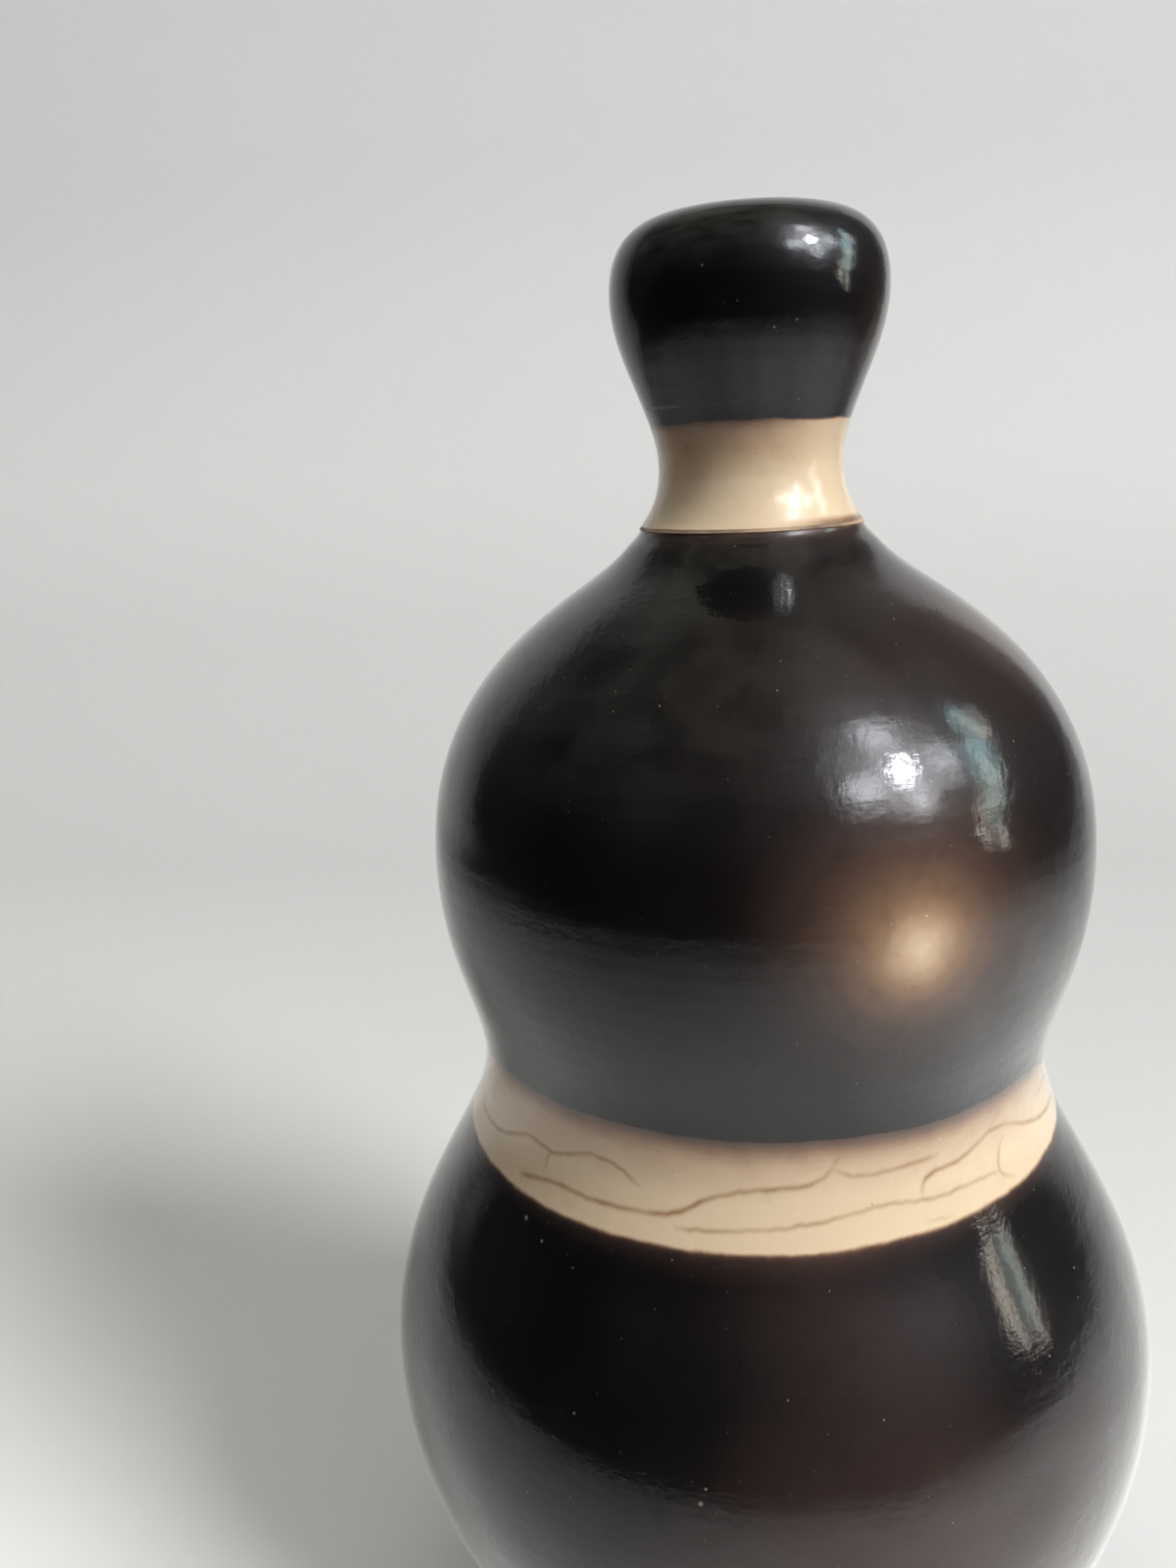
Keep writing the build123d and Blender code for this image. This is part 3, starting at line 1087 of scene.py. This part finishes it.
def glow_material(name, spots, warp, grain):
    """Light in soft uneven patches: each spot is (x, y, reach, radiance, colour) on the card."""
    paint = Paint(name)
    drift = paint.add("ShaderNodeTexNoise")
    for key, value in (("Vector", paint.place), ("Scale", grain), ("Detail", glow_drift_detail)):
        paint.put(drift.inputs[key], value)
    moved = paint.vector("MULTIPLY_ADD", drift.outputs["Color"], (warp, warp, warp), paint.place)
    light = (0.0, 0.0, 0.0)
    for x, y, reach, radiance, colour in spots:
        away = paint.vector("DISTANCE", moved, (x + warp / 2, y + warp / 2, warp / 2))
        share = paint.math("DIVIDE", away, reach)
        glow = paint.math("MULTIPLY", paint.math("MULTIPLY", share, share), -1.0)
        glow = paint.math("EXPONENT", glow)
        light = paint.vector("MULTIPLY_ADD", glow, tuple(c * radiance for c in colour), light)
    shine, clear, both = (paint.add(kind) for kind in glow_nodes)
    patches = paint.noise(grain * glow_fine_scale, detail=glow_fine_detail)
    paint.put(shine.inputs["Color"], light)
    paint.put(shine.inputs["Strength"], paint.stretch(patches, *glow_patches))
    paint.put(both.inputs[0], shine.outputs[0])
    paint.put(both.inputs[1], clear.outputs[0])
    paint.put(paint.tree.nodes["Material Output"].inputs["Surface"], both.outputs[0])
    return paint.material


def glow_card(name, matrix, half, spots, warp, grain):
    """A card of soft light that only mirroring surfaces show."""
    corners = [(-half, -half, 0.0), (half, -half, 0.0), (half, half, 0.0), (-half, half, 0.0)]
    mesh = bpy.data.meshes.new(name)
    mesh.from_pydata(corners, [], [(0, 1, 2, 3)])
    mesh.materials.append(glow_material(name, spots, warp, grain))
    card = bpy.data.objects.new(name, mesh)
    card.matrix_world = matrix
    card.visible_camera = card.visible_diffuse = card.visible_shadow = False
    bpy.context.scene.collection.objects.link(card)


daylight = (1.0, 0.985, 0.96)
sky = (0.92, 0.95, 1.0)
garden = (0.80, 0.95, 0.88)
leaves = (0.62, 0.93, 1.0)
sunlit = (1.0, 0.90, 0.78)

# Spots of the cards: place and reach in degrees, or in metres on the floor, then radiance and colour.
window_spots = (
    (0.0, -1.0, 3.3, 190.0, sky),
    (1.0, 14.0, 6.0, 11.0, sky),
    (15.5, -4.0, 6.0, 10.0, sky),
    (-14.5, -2.0, 6.5, 13.0, sky),
    (0.5, -12.0, 6.0, 11.5, sky),
    (-1.0, 1.0, 14.5, 6.2, sky),
    (-2.0, 8.0, 25.0, 1.3, sky),
)
garden_spots = (
    (4.5, 20.0, 3.5, 5.3, leaves),
    (5.5, 15.0, 4.0, 5.3, garden),
    (-1.5, 8.5, 5.8, 7.6, leaves),
    (8.0, 11.0, 3.0, 4.0, sunlit),
    (-3.5, 0.5, 5.2, 7.0, garden),
    (-8.0, -6.5, 4.0, 6.2, garden),
    (-13.0, -4.5, 3.0, 5.5, sunlit),
    (-16.0, -11.5, 2.8, 8.5, sunlit),
    (-9.0, -14.0, 2.4, 5.0, garden),
    (-15.0, -16.0, 2.2, 6.5, sunlit),
    (-8.0, -17.5, 2.6, 4.5, sunlit),
)
floor_spots = (
    (0.0, 0.0, 0.26, 0.6, daylight),
    (-0.16, -0.14, 0.18, 0.3, daylight),
    (0.45, -0.08, 0.36, 0.25, daylight),
)
floor_glow_place = Matrix.Translation((0.26, -0.06, MM))
panel_light("window", degrees=59.0, rise=35.0, width=24.0, height=24.0, radiance=21.0, colour=daylight)
panel_light("ceiling", degrees=-150.0, rise=75.0, width=60.0, height=60.0, radiance=0.65, colour=daylight)
glow_card("window_glow", facing(59.0, 36.0), half=60.0, spots=window_spots, warp=6.0, grain=0.12)
glow_card("garden_glow", facing(93.0, 18.0), half=30.0, spots=garden_spots, warp=7.0, grain=0.2)
glow_card("floor_glow", floor_glow_place, half=0.8, spots=floor_spots, warp=0.05, grain=3.0)

# The dim, patchy surroundings that the vase mirrors, from straight down over the horizon to straight up.
room_stops = (
    (0.0, (0.010, 0.010, 0.011)),
    (0.5, (0.016, 0.016, 0.020)),
    (0.62, (0.045, 0.042, 0.045)),
    (0.75, (0.12, 0.115, 0.11)),
    (0.9, (0.29, 0.275, 0.24)),
    (1.0, (0.43, 0.40, 0.325)),
)
room_patch_scale = 2.6
room_patches = {"From Min": 0.35, "From Max": 0.65, "To Min": 0.4, "To Max": 1.6}
backdrop = (0.58, 0.58, 0.565, 1.0)


def add_room():
    """World light: dim surroundings for the vase and the stage, one even backdrop for the camera."""
    world = bpy.data.worlds.new("room")
    bpy.context.scene.world = world
    world.use_nodes = True
    tree = world.node_tree
    room = tree.nodes["Background"]
    way = tree.nodes.new("ShaderNodeTexCoord")
    apart = tree.nodes.new("ShaderNodeSeparateXYZ")
    rise = tree.nodes.new("ShaderNodeMapRange")
    rise.inputs["From Min"].default_value = -1.0
    tone = tree.nodes.new("ShaderNodeValToRGB")
    elements = tone.color_ramp.elements
    while len(elements) < len(room_stops):
        elements.new(0.5)
    for element, (position, colour) in zip(elements, room_stops):
        element.position, element.color = position, (*colour, 1.0)
    shapes = tree.nodes.new("ShaderNodeTexNoise")
    shapes.inputs["Scale"].default_value = room_patch_scale
    patches = tree.nodes.new("ShaderNodeMapRange")
    for key, value in room_patches.items():
        patches.inputs[key].default_value = value
    shown = tree.nodes.new("ShaderNodeBackground")
    shown.inputs["Color"].default_value = backdrop
    path = tree.nodes.new("ShaderNodeLightPath")
    choose = tree.nodes.new("ShaderNodeMixShader")
    for start, end in (
        (way.outputs["Generated"], apart.inputs[0]),
        (apart.outputs["Z"], rise.inputs["Value"]),
        (rise.outputs[0], tone.inputs[0]),
        (tone.outputs[0], room.inputs["Color"]),
        (way.outputs["Generated"], shapes.inputs["Vector"]),
        (shapes.outputs["Fac"], patches.inputs["Value"]),
        (patches.outputs[0], room.inputs["Strength"]),
        (path.outputs["Is Camera Ray"], choose.inputs[0]),
        (room.outputs[0], choose.inputs[1]),
        (shown.outputs[0], choose.inputs[2]),
        (choose.outputs[0], tree.nodes["World Output"].inputs[0]),
    ):
        tree.links.new(start, end)


add_room()
bpy.context.scene.view_settings.view_transform = "Standard"


def add_camera():
    """The photograph's camera, turned by its yaw, its downward pitch and its roll."""
    data = bpy.data.cameras.new("camera")
    data.lens, data.sensor_width = camera_lens_mm, camera_sensor_mm
    data.clip_start = camera_clip
    made = bpy.data.objects.new("camera", data)
    level = Matrix.Rotation(math.pi / 2, 4, "X")
    turn = Matrix.Rotation(-camera_yaw, 4, "Z")
    pitch = Matrix.Rotation(-camera_pitch, 4, "X")
    roll = Matrix.Rotation(camera_roll, 4, "Z")
    place = Matrix.Translation((0.0, -camera_distance, camera_height))
    made.matrix_world = place @ turn @ level @ pitch @ roll
    bpy.context.scene.collection.objects.link(made)
    bpy.context.scene.camera = made


add_camera()
